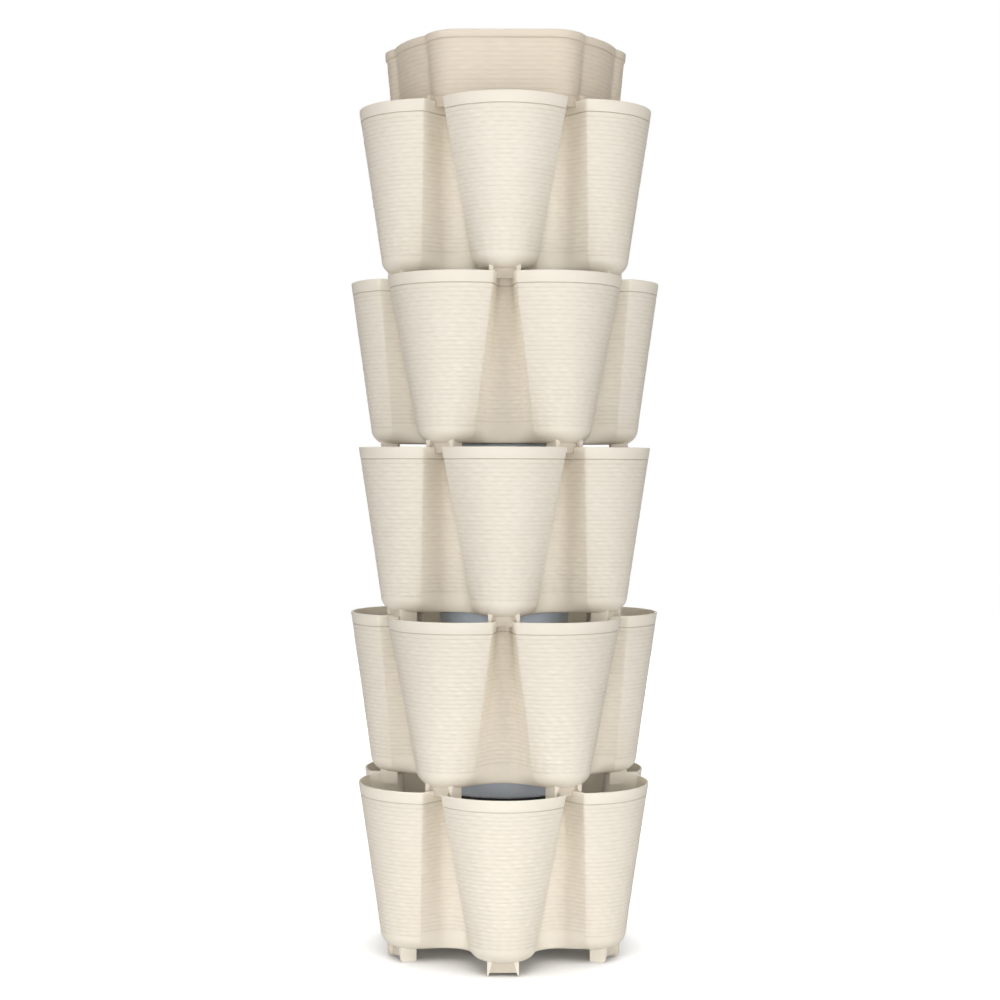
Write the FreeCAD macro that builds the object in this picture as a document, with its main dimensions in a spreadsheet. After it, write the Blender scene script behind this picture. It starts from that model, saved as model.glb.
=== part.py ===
"""Vertical planter tower: five stacked six-pocket tiers, their support plates and water disks,
and a water reservoir on top.

Millimetres. The origin is on the ground under the tower's axis, +Z is up and the front faces -Y.
Angles round the tower are degrees from the front, positive towards +X.
"""

import FreeCAD, Part
import math
import os

os.makedirs("parts", exist_ok=True)
Vector = FreeCAD.Vector
doc = FreeCAD.newDocument("planter_tower")

# The driving sizes. Each cell of the sheet holds one plain number under its own alias.
SIZES = {
    # one tier, measured from the tips of its feet
    "tier_height": 263.0,       # up to the rim
    "nest_depth": 13.0,         # the feet reach this far below the rim of the tier beneath
    "wall": 3.0,                # moulded wall of tiers and reservoir
    "rim_reach": 235.0,         # axis to the crest of a pocket at the rim
    "rim_pocket_radius": 110.0,
    "rim_spread_angle": 54.3,   # degrees that a pocket's arc runs each side of its crest
    "rim_corner_radius": 5.0,   # rounding where the arc turns into the wall of a valley
    "rim_valley_depth": 77.0,   # the back of a valley lies this far inside the reach
    "rim_slot_radius": 9.0,     # radius of a valley's back
    "floor_reach": 201.3,       # the same six at the level of the pocket floor
    "floor_pocket_radius": 46.5,
    "floor_spread_angle": 72.0,
    "floor_corner_radius": 4.0,
    "floor_valley_depth": 75.3,
    "floor_slot_radius": 34.0,
    "pocket_base": 19.0,        # underside of the pockets above the tips of the feet
    "pocket_round": 24.0,       # rounding of a pocket's lower edge
    "valley_round": 4.0,        # how far a valley's back draws in at its lower edge
    "end_spread_angle": 60.0,   # spread and slot at the tier's flat underside
    "end_slot_radius": 45.0,
    # feet under each pocket
    "fin_start": 162.0,         # axis to the inner end of a fin
    "fin_end": 188.0,           # axis to its outer end
    "fin_outside": 22.9,        # pocket centre plane to a fin's outer face
    "fin_root": 6.4,            # thickness of a fin where it leaves the pocket
    "fin_tip": 1.5,             # and at its tip
    "fin_cut": 7.0,             # outer lower corner of a fin
    "web_place": 179.0,         # axis to the middle of the web between two fins
    "web_wall": 3.0,
    "web_rise": 4.5,            # web's lower edge above the tips of the fins
    "notch_play": 1.0,          # room each side of a web in the notch that takes it
    # central tube, support plate and water disk
    "tube_foot": 34.0,          # outer radius of the tube at the tier's floor
    "tube_head": 30.0,          # and at its top
    "plate_drop": 22.5,         # top of the plate below the rim
    "plate_radius": 97.0,
    "plate_thick": 7.2,
    "socket_depth": 4.0,        # blind socket in the plate that sits over the tube
    "disk_radius": 99.5,
    "disk_wall": 2.0,
    "disk_head_gap": 0.6,       # top of the disk below the underside of the pockets above
    "pipe_radius": 8.0,         # standpipe in the middle of the disk
    "pipe_wall": 2.0,
    "pipe_rise": 14.0,          # above the disk's underside
    "pipe_drop": 12.0,          # below it, through the plate
    "pipe_play": 0.6,           # bore of the plate round the standpipe
    # reservoir
    "tank_height": 114.0,       # from the tips of its feet to its rim
    "tank_flat": 165.0,         # axis to each of its three broad flat sides, at the rim
    "tank_half_flat": 65.0,     # half the width of a flat side
    "tank_corner": 53.0,        # radius of the corners beside it
    "tank_round": 170.5,        # radius of the round stretches between
    "tank_taper": 9.0,          # how much the wall leans in from the rim down to its underside
    "tank_edge": 4.0,           # bevel of the lower edge
    "tank_band": 11.4,          # height of the rim band
    "tank_band_proud": 1.5,
    "nozzle_place": 60.0,       # axis to the three drip nozzles
    "nozzle_radius": 4.0,
    "nozzle_bore": 1.6,
    "nozzle_flange": 7.5,
    "nozzle_flange_thick": 2.0,
    "nozzle_drop": 9.0,         # below the reservoir's underside
    "nozzle_play": 0.3,         # between a nozzle and its hole, all round
    "seat_gap": 0.3,            # pieces that rest on one another lie this far apart
}
TIERS = 5
POCKETS = 6
TWIST = 180.0 / POCKETS         # every second tier is turned by half a pocket
TANK_SIDES = 3                  # a drip nozzle under each

sheet = doc.addObject("Spreadsheet::Sheet", "Sizes")
for row, (name, value) in enumerate(SIZES.items(), start=1):
    sheet.set("A%d" % row, name)
    sheet.set("B%d" % row, "%g" % value)
    sheet.setAlias("B%d" % row, name)
doc.recompute()


def size(name):
    return float(sheet.get(name))


# Facets of the round stretches, kept few because every tier repeats them.
POCKET_FACETS = 8
VALLEY_FACETS = 4
TUBE_FACETS = 12
DISK_FACETS = 20
PIPE_FACETS = 6
TANK_CORNER_FACETS = 4
TANK_ROUND_FACETS = 24
ROUNDING_STEPS = 2


def turned(point, degrees):
    """The point turned about the tower's axis, anticlockwise seen from above."""
    angle = math.radians(degrees)
    return Vector(
        point.x * math.cos(angle) - point.y * math.sin(angle),
        point.x * math.sin(angle) + point.y * math.cos(angle),
        point.z,
    )


def lifted(points, height):
    return [Vector(point.x, point.y, height) for point in points]


def on_arc(centre, radius, degrees):
    angle = math.radians(degrees)
    return Vector(centre.x + radius * math.cos(angle), centre.y + radius * math.sin(angle), 0)


def ring(centre, radius, count, start=0.0):
    """A regular polygon round a centre, its first corner at the start angle."""
    return [on_arc(centre, radius, start + 360.0 * k / count) for k in range(count)]


def flat_faces(corners):
    """One face over four corners that lie in a plane, and two over corners that don't."""
    a, b, c, d = corners
    normal = (b - a).cross(c - a)
    if abs(normal.dot(d - a)) < 1e-6 * normal.Length:
        return [Part.Face(Part.makePolygon([a, b, c, d, a]))]
    return [Part.Face(Part.makePolygon([a, b, c, a])), Part.Face(Part.makePolygon([a, c, d, a]))]


def stack(rings):
    """A solid through closed rings of as many points each, from the lowest to the highest."""
    faces = [Part.Face(Part.makePolygon(rings[0] + rings[0][:1]))]
    for low, high in zip(rings, rings[1:]):
        for k in range(len(low)):
            j = (k + 1) % len(low)
            faces += flat_faces([low[k], low[j], high[j], high[k]])
    faces.append(Part.Face(Part.makePolygon(rings[-1] + rings[-1][:1])))
    solid = Part.makeSolid(Part.makeShell(faces))
    if solid.Volume < 0:
        solid.reverse()
    return solid


def plain_box(low, high):
    return Part.makeBox(high.x - low.x, high.y - low.y, high.z - low.z, low)


def round_about(shape, angles):
    """Copies of a shape at several angles round the tower's axis."""
    copies = []
    for angle in angles:
        copy = shape.copy()
        copy.rotate(Vector(0, 0, 0), Vector(0, 0, 1), angle)
        copies.append(copy)
    return copies


def joined(shapes):
    return shapes[0].multiFuse(shapes[1:]).removeSplitter()


# Sizes worked out from the driving ones
WALL = size("wall")
RIM = size("tier_height")
POCKET_BASE = size("pocket_base")
VALLEY_ANGLES = [k * 360.0 / POCKETS for k in range(POCKETS)]
POCKET_ANGLES = [angle + TWIST for angle in VALLEY_ANGLES]
PLATE_BASE = RIM - size("plate_drop") - size("plate_thick")
NOZZLE_ANGLES = [90.0 + k * 360.0 / TANK_SIDES for k in range(TANK_SIDES)]
TUBE_TOP = PLATE_BASE + size("socket_depth") - size("seat_gap")


def wall_size(name, height):
    """A size of the tier's wall at a height, from its values at the pocket floor and at the rim."""
    share = (height - POCKET_BASE) / (RIM - POCKET_BASE)
    low = size("floor_" + name)
    return low + (size("rim_" + name) - low) * share


def pocket_centre(height):
    return wall_size("reach", height) - wall_size("pocket_radius", height)


def valley_back(height):
    return wall_size("reach", height) - wall_size("valley_depth", height)


def outline(height, centre, radius, spread, corner, back, slot, inset):
    """Plan of a tier at a height, set in from its outer face.

    One sixth runs from the crest of a pocket round its arc, over a rounded corner, along the
    straight wall and round the back of the valley, and then the same mirrored. The valley lies
    on +Y. The wall is the line that touches the corner's circle and the valley's, one on each
    side of it.
    """
    crest = 90.0 - TWIST
    pocket = on_arc(Vector(0, 0, 0), centre, crest)
    arc_end = crest + spread
    corner_centre = on_arc(pocket, radius - corner, arc_end)
    valley_centre = Vector(0, back + slot, 0)
    link = corner_centre - valley_centre
    if link.Length <= slot + corner:
        raise ValueError("the valley wall has no length at height %g" % height)
    aside = math.acos((slot + corner) / link.Length)
    wall_start = math.degrees(math.atan2(link.y, link.x) - aside)

    sixth = []
    for k in range(POCKET_FACETS // 2 + 1):
        angle = crest + spread * 2 * k / POCKET_FACETS
        sixth.append(on_arc(pocket, radius - inset, angle))
    sixth.append(on_arc(corner_centre, corner - inset, wall_start + 180.0))
    for k in range(VALLEY_FACETS // 2 + 1):
        angle = wall_start - (wall_start + 90.0) * 2 * k / VALLEY_FACETS
        sixth.append(on_arc(valley_centre, slot + inset, angle))
    mirrored = [Vector(-point.x, point.y, 0) for point in reversed(sixth[:-1])]
    sixth += mirrored[:-1]

    points = []
    for k in range(POCKETS):
        points += [turned(point, k * 360.0 / POCKETS) for point in sixth]
    return lifted(points, height)


def wall_outline(height, inset):
    """Plan of the plain tapering wall at a height."""
    return outline(
        height, pocket_centre(height), wall_size("pocket_radius", height),
        wall_size("spread_angle", height), wall_size("corner_radius", height),
        valley_back(height), wall_size("slot_radius", height), inset,
    )


def tier_block(inset, steps):
    """The tier as a full block: tapering lobed walls over rounded lower ends.

    The rounding starts where it is tangent to the pocket's wall. Set in, every ring moves by the
    wall's thickness along the rounding's own normal.
    """
    rounding = size("pocket_round")
    taper = (size("rim_pocket_radius") - size("floor_pocket_radius")) / (RIM - POCKET_BASE)
    lean = math.degrees(math.atan(taper))
    middle = POCKET_BASE + rounding
    meet = middle - rounding * math.sin(math.radians(lean))
    core = wall_size("pocket_radius", meet) - rounding * math.cos(math.radians(lean))
    spread = wall_size("spread_angle", meet)
    slot = wall_size("slot_radius", meet)
    rings = []
    for k in range(steps):
        angle = math.radians(90.0 - (90.0 - lean) * k / steps)
        share = 1 - math.cos(angle) / math.cos(math.radians(lean))
        rings.append(outline(
            middle - (rounding - inset) * math.sin(angle), pocket_centre(meet),
            core + rounding * math.cos(angle),
            spread + (size("end_spread_angle") - spread) * share, size("floor_corner_radius"),
            valley_back(meet) - size("valley_round") * share,
            slot + (size("end_slot_radius") - slot) * share, inset * math.cos(angle),
        ))
    return stack(rings + [wall_outline(meet, inset), wall_outline(RIM, inset)])


def foot(top):
    """Two radial fins with a web between them, on +Y, up to the height where they join on."""
    outside = size("fin_outside")
    end = size("fin_end")
    cut = size("fin_cut")

    def section(height, outer_end):
        inside = outside - size("fin_tip") - slope * height
        corners = [(inside, size("fin_start")), (outside, size("fin_start")),
                   (outside, outer_end), (inside, outer_end)]
        return [Vector(x, y, height) for x, y in corners]

    slope = (size("fin_root") - size("fin_tip")) / POCKET_BASE
    fin = stack([section(0, end - cut), section(cut, end), section(top, end)])
    other = fin.mirror(Vector(0, 0, 0), Vector(1, 0, 0))
    half = size("web_wall") / 2
    web = plain_box(
        Vector(-outside, size("web_place") - half, size("web_rise")),
        Vector(outside, size("web_place") + half, top),
    )
    return joined([fin, other, web])


def tapered_tube(radius_foot, radius_head):
    foot_ring = ring(Vector(0, 0, 0), radius_foot, TUBE_FACETS)
    head_ring = ring(Vector(0, 0, 0), radius_head, TUBE_FACETS)
    return stack([lifted(foot_ring, POCKET_BASE), lifted(head_ring, TUBE_TOP)])


def tier_shape():
    """One tier, a valley on +Y: shell and feet, tube, and notches for the feet that stand on it."""
    feet = round_about(foot(POCKET_BASE + size("pocket_round") / 2), POCKET_ANGLES)
    body = tier_block(0.0, ROUNDING_STEPS).multiFuse(feet)
    body = body.cut(tier_block(WALL, 1))
    body = body.fuse(tapered_tube(size("tube_foot"), size("tube_head")))
    body = body.cut(tapered_tube(size("tube_foot") - WALL, size("tube_head") - WALL))

    half_notch = size("web_wall") / 2 + size("notch_play")
    depth = size("nest_depth") - size("web_rise") + size("seat_gap")
    notch = plain_box(
        Vector(-size("fin_outside"), size("web_place") - half_notch, RIM - depth),
        Vector(size("fin_outside"), size("web_place") + half_notch, RIM),
    )
    return body.cut(Part.makeCompound(round_about(notch, VALLEY_ANGLES))).removeSplitter()


def tank_lean(height):
    """How far the reservoir's wall stands inside its rim at a height."""
    share = (size("tank_height") - height) / (size("tank_height") - POCKET_BASE)
    return size("tank_taper") * share


def tank_block(inset, levels):
    """The reservoir as a full block through levels of height and lean.

    A round body is joined to one with three broad flat sides and round corners, one on +Y.
    """
    centre = Vector(size("tank_half_flat"), size("tank_flat") - size("tank_corner"), 0)
    round_rings = []
    sided_rings = []
    for height, lean in levels:
        back = inset + lean
        circle = ring(Vector(0, 0, 0), size("tank_round") - back, TANK_ROUND_FACETS)
        round_rings.append(lifted(circle, height))
        half = []
        for k in range(TANK_CORNER_FACETS + 1):
            angle = 90.0 * k / TANK_CORNER_FACETS
            half.append(on_arc(centre, size("tank_corner") - back, angle))
        side = half + [Vector(-point.x, point.y, 0) for point in reversed(half)]
        sides = []
        for k in range(TANK_SIDES):
            sides += [turned(point, k * 360.0 / TANK_SIDES) for point in side]
        sided_rings.append(lifted(sides, height))
    return stack(round_rings).fuse(stack(sided_rings)).removeSplitter()


def tank_shape():
    """The open reservoir: tapering wall with a proud rim band, flat floor, feet, nozzle holes."""
    rim = size("tank_height")
    edge = POCKET_BASE + size("tank_edge")
    band = rim - size("tank_band")
    floor = POCKET_BASE + WALL
    outside = tank_block(0.0, [
        (POCKET_BASE, size("tank_taper") + size("tank_edge")),
        (edge, tank_lean(edge)),
        (rim, 0.0),
    ])
    rim_band = tank_block(-size("tank_band_proud"), [(band, tank_lean(band)), (rim, 0.0)])
    feet = round_about(foot(floor), POCKET_ANGLES)
    body = outside.multiFuse([rim_band] + feet)
    body = body.cut(tank_block(WALL, [(floor, tank_lean(floor)), (rim, 0.0)]))

    hole_radius = size("nozzle_radius") + size("nozzle_play")
    holes = []
    for angle in NOZZLE_ANGLES:
        place = on_arc(Vector(0, 0, 0), size("nozzle_place"), angle)
        hole = ring(place, hole_radius, PIPE_FACETS, angle)
        holes.append(stack([lifted(hole, POCKET_BASE), lifted(hole, floor)]))
    return body.cut(Part.makeCompound(holes)).removeSplitter()


def add_feature(name, shape):
    feature = doc.addObject("Part::Feature", name)
    feature.Label = name
    feature.Shape = shape
    return feature


def place(item, height_text, degrees=0.0):
    """Sets an object on the tower's axis, its height bound to the sheet."""
    item.Placement = FreeCAD.Placement(
        Vector(0, 0, 0), FreeCAD.Rotation(Vector(0, 0, 1), degrees)
    )
    item.setExpression("Placement.Base.z", height_text)


def prism(name, sides, radius_text, height_text, base_text, place_text="0", angle=0.0):
    """A many-sided prism bound to the sheet, on the tower's axis or at a distance from it."""
    item = doc.addObject("Part::Prism", name)
    item.Polygon = sides
    item.setExpression("Circumradius", radius_text)
    item.setExpression("Height", height_text)
    turn = FreeCAD.Rotation(Vector(0, 0, 1), angle)
    item.Placement = FreeCAD.Placement(Vector(0, 0, 0), turn)
    item.setExpression("Placement.Base.x", "(%s) * cos(%g deg)" % (place_text, angle))
    item.setExpression("Placement.Base.y", "(%s) * sin(%g deg)" % (place_text, angle))
    item.setExpression("Placement.Base.z", base_text)
    return item


def union(name, shapes):
    item = doc.addObject("Part::MultiFuse", name)
    item.Shapes = shapes
    return item


def cut_away(name, base, tools):
    item = doc.addObject("Part::Cut", name)
    item.Base = base
    item.Tool = tools[0] if len(tools) == 1 else union(name + "_tools", tools)
    return item


PITCH_TEXT = "(Sizes.tier_height - Sizes.nest_depth)"
NODES = []

# Tiers: one moulded shape, every second one turned by half a pocket
tier = tier_shape()
for number in range(1, TIERS + 1):
    feature = add_feature("tier_%d" % number, tier)
    place(feature, "%d * %s" % (number - 1, PITCH_TEXT), TWIST * (number % 2))
    NODES.append(feature)

for number in range(1, TIERS + 1):
    rim_text = "%d * %s + Sizes.tier_height" % (number - 1, PITCH_TEXT)

    # Support plate: a flat disk that sits over the top of the central tube
    name = "support_plate_%d" % number
    plate_text = rim_text + " - Sizes.plate_drop - Sizes.plate_thick"
    plate = prism(name + "_body", DISK_FACETS, "Sizes.plate_radius", "Sizes.plate_thick", plate_text)
    socket = prism(
        name + "_socket", TUBE_FACETS, "Sizes.tube_head + Sizes.seat_gap",
        "Sizes.socket_depth", plate_text,
    )
    bore = prism(
        name + "_bore", PIPE_FACETS, "Sizes.pipe_radius + Sizes.pipe_play",
        "Sizes.plate_thick", plate_text,
    )
    NODES.append(cut_away(name, plate, [socket, bore]))

    # Water disk: a shallow open bowl with a standpipe for what it doesn't hold
    name = "water_disk_%d" % number
    disk_text = rim_text + " - Sizes.plate_drop + Sizes.seat_gap"
    headroom_text = "Sizes.plate_drop - Sizes.nest_depth + Sizes.pocket_base"
    deep_text = "(%s - Sizes.seat_gap - Sizes.disk_head_gap)" % headroom_text
    pipe_text = disk_text + " - Sizes.pipe_drop"
    outer = prism(name + "_outer", DISK_FACETS, "Sizes.disk_radius", deep_text, disk_text)
    inner = prism(
        name + "_inner", DISK_FACETS, "Sizes.disk_radius - Sizes.disk_wall",
        deep_text, disk_text + " + Sizes.disk_wall",
    )
    pipe = prism(
        name + "_pipe", PIPE_FACETS, "Sizes.pipe_radius",
        "Sizes.pipe_rise + Sizes.pipe_drop", pipe_text,
    )
    pipe_bore = prism(
        name + "_pipe_bore", PIPE_FACETS, "Sizes.pipe_radius - Sizes.pipe_wall",
        "Sizes.pipe_rise + Sizes.pipe_drop", pipe_text,
    )
    dish = cut_away(name + "_dish", outer, [inner])
    NODES.append(cut_away(name, union(name + "_solid", [dish, pipe]), [pipe_bore]))

# Reservoir: open on top, one flat side to the front
TANK_TEXT = "%d * %s" % (TIERS, PITCH_TEXT)
reservoir = add_feature("reservoir", tank_shape())
place(reservoir, TANK_TEXT, 180.0)
NODES.append(reservoir)

# Drip nozzles: flanged spouts through the reservoir's floor
for number, angle in enumerate(NOZZLE_ANGLES, start=1):
    name = "drip_nozzle_%d" % number
    under_text = TANK_TEXT + " + Sizes.pocket_base"
    spout_text = "Sizes.nozzle_drop + Sizes.wall + Sizes.nozzle_flange_thick"
    spout = prism(
        name + "_spout", PIPE_FACETS, "Sizes.nozzle_radius", spout_text,
        under_text + " - Sizes.nozzle_drop", "Sizes.nozzle_place", angle + 180.0,
    )
    flange = prism(
        name + "_flange", PIPE_FACETS, "Sizes.nozzle_flange", "Sizes.nozzle_flange_thick",
        under_text + " + Sizes.wall", "Sizes.nozzle_place", angle + 180.0,
    )
    channel = prism(
        name + "_channel", PIPE_FACETS, "Sizes.nozzle_bore", spout_text,
        under_text + " - Sizes.nozzle_drop", "Sizes.nozzle_place", angle + 180.0,
    )
    NODES.append(cut_away(name, union(name + "_solid", [spout, flange]), [channel]))

# Checks before anything is written
doc.recompute()
for item in doc.Objects:
    if any(state in ("Invalid", "Error") for state in item.State):
        raise RuntimeError("%s failed: %s" % (item.Label, item.State))
for node in NODES:
    if node.Shape.isNull() or not node.Shape.isValid():
        raise RuntimeError("%s has no valid shape" % node.Label)
for node in NODES:
    node.Shape.exportStep("parts/%s.step" % node.Label)
    print(node.Label, "solids", len(node.Shape.Solids), "volume %.0f" % node.Shape.Volume)
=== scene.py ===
"""Looks of the vertical planter tower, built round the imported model.

Metres, +Z up, the front faces -Y. Angles round the tower are degrees from +X, anticlockwise
seen from above, unless a comment says otherwise.
"""

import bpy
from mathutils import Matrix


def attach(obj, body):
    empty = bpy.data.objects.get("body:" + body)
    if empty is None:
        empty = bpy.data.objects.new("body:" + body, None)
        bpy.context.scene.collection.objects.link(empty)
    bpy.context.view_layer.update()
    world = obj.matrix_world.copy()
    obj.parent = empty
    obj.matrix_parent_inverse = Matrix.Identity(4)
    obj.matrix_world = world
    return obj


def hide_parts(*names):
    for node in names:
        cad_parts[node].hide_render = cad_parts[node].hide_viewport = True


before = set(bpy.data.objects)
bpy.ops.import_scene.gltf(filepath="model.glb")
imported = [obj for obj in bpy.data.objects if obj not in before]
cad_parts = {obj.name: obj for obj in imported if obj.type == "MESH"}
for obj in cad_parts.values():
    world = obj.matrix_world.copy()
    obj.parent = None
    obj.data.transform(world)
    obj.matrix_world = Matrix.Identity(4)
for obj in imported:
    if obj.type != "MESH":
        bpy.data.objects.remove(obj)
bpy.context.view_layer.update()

import math

import bmesh
import bpy
import numpy as np
from mathutils import Matrix

# Shader nodes
# Each helper adds a node to a tree, feeds its inputs and returns its output.


def feed(tree, value, socket):
    """Links another node's output to an input, or sets the input to a plain value."""
    if isinstance(value, bpy.types.NodeSocket):
        tree.links.new(value, socket)
    else:
        socket.default_value = value


def math_node(tree, operation, first, second=None, clamp=False):
    """A sum, product or other plain operation on outputs or numbers."""
    node = tree.nodes.new("ShaderNodeMath")
    node.operation = operation
    node.use_clamp = clamp
    for socket, value in zip(node.inputs, (first, second)):
        if value is not None:
            feed(tree, value, socket)
    return node.outputs[0]


def map_range(tree, value, from_ends, to_ends, kind="LINEAR"):
    """A value carried from one range to another, and held at its ends."""
    node = tree.nodes.new("ShaderNodeMapRange")
    node.interpolation_type = kind
    feed(tree, value, node.inputs["Value"])
    for label, number in zip(("From Min", "From Max", "To Min", "To Max"), (*from_ends, *to_ends)):
        node.inputs[label].default_value = number
    return node.outputs["Result"]


def mixed_colour(tree, share, first, second):
    """A colour between two, each an output or an RGBA value."""
    node = tree.nodes.new("ShaderNodeMix")
    node.data_type = "RGBA"
    feed(tree, share, node.inputs["Factor"])
    feed(tree, first, node.inputs[6])
    feed(tree, second, node.inputs[7])
    return node.outputs[2]


def noise(tree, vector, stretch):
    """Noise from 0 to 1, with as many waves to a unit of each axis as the stretch says."""
    mapping = tree.nodes.new("ShaderNodeMapping")
    mapping.inputs["Scale"].default_value = stretch
    feed(tree, vector, mapping.inputs["Vector"])
    node = tree.nodes.new("ShaderNodeTexNoise")
    node.inputs["Scale"].default_value = 1.0
    node.inputs["Detail"].default_value = 1.0
    feed(tree, mapping.outputs[0], node.inputs["Vector"])
    return node.outputs["Fac"]


def attribute_node(tree, name):
    """A node that reads a mesh attribute."""
    node = tree.nodes.new("ShaderNodeAttribute")
    node.attribute_name = name
    return node


def srgb(red, green, blue):
    """A colour given as it looks on screen, 0 to 255, as linear RGBA."""
    values = [c / 255.0 for c in (red, green, blue)]
    linear = [c / 12.92 if c <= 0.04045 else ((c + 0.055) / 1.055) ** 2.4 for c in values]
    return (*linear, 1.0)


# Camera and studio
# The tower stands on a white sweep in soft light from low in front, seen from a little over half
# its height. The lens and the distance come from the ellipses of the rims.
CAMERA_DISTANCE = 2.76
CAMERA_HEIGHT = 0.733
CAMERA_DOWN = 1.03  # degrees below level
CAMERA_ASIDE = 0.140  # degrees to the left
CAMERA_ROLL = -0.15  # degrees, the top leans right in the picture
FOCAL_PIXELS = 1797.0
PICTURE_PIXELS = 1000.0

camera_data = bpy.data.cameras.new("camera")
camera_data.sensor_width = 36.0
camera_data.lens = FOCAL_PIXELS * camera_data.sensor_width / PICTURE_PIXELS
camera_data.clip_end = 50.0
camera = bpy.data.objects.new("camera", camera_data)
camera.location = (0.0, -CAMERA_DISTANCE, CAMERA_HEIGHT)
camera.rotation_euler = [math.radians(a) for a in (90.0 - CAMERA_DOWN, CAMERA_ROLL, CAMERA_ASIDE)]
bpy.context.scene.collection.objects.link(camera)
bpy.context.scene.camera = camera
bpy.context.scene.view_settings.view_transform = "Standard"


def add_area_light(name, place, aim, width, height, power, spread=180.0):
    """A rectangular lamp at a place, turned to a point. Power in watts, spread in degrees."""
    data = bpy.data.lights.new(name, "AREA")
    data.shape = "RECTANGLE"
    data.size = width
    data.size_y = height
    data.energy = power
    data.spread = math.radians(spread)
    lamp = bpy.data.objects.new(name, data)
    direction = np.array(aim, float) - np.array(place, float)
    lamp.location = place
    yaw = math.atan2(direction[0], -direction[1])
    tilt = math.atan2(math.hypot(direction[0], direction[1]), -direction[2])
    lamp.rotation_euler = (tilt, 0.0, yaw + math.pi)
    bpy.context.scene.collection.objects.link(lamp)


add_area_light("left_panel", (-2.6, -2.2, 0.9), (0.0, 0.0, 0.7), 2.0, 2.4, 43.5)
add_area_light("right_panel", (2.6, -2.2, 0.9), (0.0, 0.0, 0.7), 2.0, 2.4, 43.5)
add_area_light("front_fill", (0.0, -4.0, 0.8), (0.0, 0.0, 0.7), 1.0, 1.0, 32.5)
add_area_light("top_fill", (0.0, -1.8, 3.4), (0.0, 0.0, 0.6), 3.0, 2.0, 32.5)
add_area_light("back_fill", (0.0, 3.8, 2.2), (0.0, 0.0, 0.7), 3.0, 1.6, 77.0)
# A flat beam that reaches only the feet and the lowest tier
add_area_light("low_beam", (0.0, -2.3, 0.12), (0.0, 0.0, 0.10), 2.0, 0.3, 0.65, spread=24.0)

# The world lights with a faint warm tone and shows itself to the camera as white
WORLD_TONE = (1.0, 0.95, 0.88, 1.0)
WORLD_STRENGTH = 0.08
WHITE = (1.0, 1.0, 1.0, 1.0)
world = bpy.data.worlds.new("studio")
bpy.context.scene.world = world
world.use_nodes = True
tree = world.node_tree
tree.nodes.clear()
surroundings = tree.nodes.new("ShaderNodeBackground")
surroundings.inputs["Color"].default_value = WORLD_TONE
surroundings.inputs["Strength"].default_value = WORLD_STRENGTH
backdrop = tree.nodes.new("ShaderNodeBackground")
backdrop.inputs["Color"].default_value = WHITE
backdrop.inputs["Strength"].default_value = 1.0
seen = tree.nodes.new("ShaderNodeLightPath")
choice = tree.nodes.new("ShaderNodeMixShader")
world_output = tree.nodes.new("ShaderNodeOutputWorld")
feed(tree, seen.outputs["Is Camera Ray"], choice.inputs[0])
feed(tree, surroundings.outputs[0], choice.inputs[1])
feed(tree, backdrop.outputs[0], choice.inputs[2])
feed(tree, choice.outputs[0], world_output.inputs["Surface"])

# The floor glows to the camera alone, less where the tower hides the open sky from it
FLOOR_SIZE = 12.0
FLOOR_PAINT = (0.80, 0.80, 0.80, 1.0)
FLOOR_GLOW = 0.86  # near the tower, where its shadow shows
GLOW_ENDS = (0.45, 1.3)  # the glow rises to full white between these distances
SHADE_REACH = 0.25  # how near the tower darkens the floor
SKY_ENDS = (0.20, 0.80)  # the shares of open sky where the glow is gone and where it is full
SKY_SAMPLES = 12
half = FLOOR_SIZE / 2
floor_mesh = bpy.data.meshes.new("floor")
floor_corners = [(-half, -half, 0), (half, -half, 0), (half, half, 0), (-half, half, 0)]
floor_mesh.from_pydata(floor_corners, [], [(0, 1, 2, 3)])
floor = bpy.data.objects.new("floor", floor_mesh)
bpy.context.scene.collection.objects.link(floor)
floor_material = bpy.data.materials.new("white_sweep")
floor_material.use_nodes = True
tree = floor_material.node_tree
tree.nodes.clear()
paint = tree.nodes.new("ShaderNodeBsdfDiffuse")
paint.inputs["Color"].default_value = FLOOR_PAINT
glow = tree.nodes.new("ShaderNodeEmission")
glow.inputs["Color"].default_value = WHITE
position = tree.nodes.new("ShaderNodeTexCoord")
distance = tree.nodes.new("ShaderNodeVectorMath")
distance.operation = "LENGTH"
seen = tree.nodes.new("ShaderNodeLightPath")
open_sky = tree.nodes.new("ShaderNodeAmbientOcclusion")
open_sky.samples = SKY_SAMPLES
open_sky.inputs["Distance"].default_value = SHADE_REACH
both = tree.nodes.new("ShaderNodeAddShader")
floor_output = tree.nodes.new("ShaderNodeOutputMaterial")
feed(tree, position.outputs["Object"], distance.inputs[0])
fade = map_range(tree, distance.outputs["Value"], GLOW_ENDS, (FLOOR_GLOW, 1.0), "SMOOTHSTEP")
shade = map_range(tree, open_sky.outputs["AO"], SKY_ENDS, (0.0, 1.0))
shaded_glow = math_node(tree, "MULTIPLY", fade, shade)
strength = math_node(tree, "MULTIPLY", shaded_glow, seen.outputs["Is Camera Ray"])
feed(tree, strength, glow.inputs["Strength"])
feed(tree, paint.outputs[0], both.inputs[0])
feed(tree, glow.outputs[0], both.inputs[1])
feed(tree, both.outputs[0], floor_output.inputs["Surface"])
floor_mesh.materials.append(floor_material)

# Meshes
# Surfaces are grids of rows. A row is a closed line, and its points' x, y and z are arrays.


def arc(centre_x, centre_y, radius, start, end, count, closed_end=False):
    """Points at equal angles from start to end on a circle, for arrays of circles."""
    share = np.linspace(0.0, 1.0, count + 1)[: count + 1 if closed_end else count]
    angle = start + (end - start) * share[None, :]
    return centre_x + radius * np.cos(angle), centre_y + radius * np.sin(angle)


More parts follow.
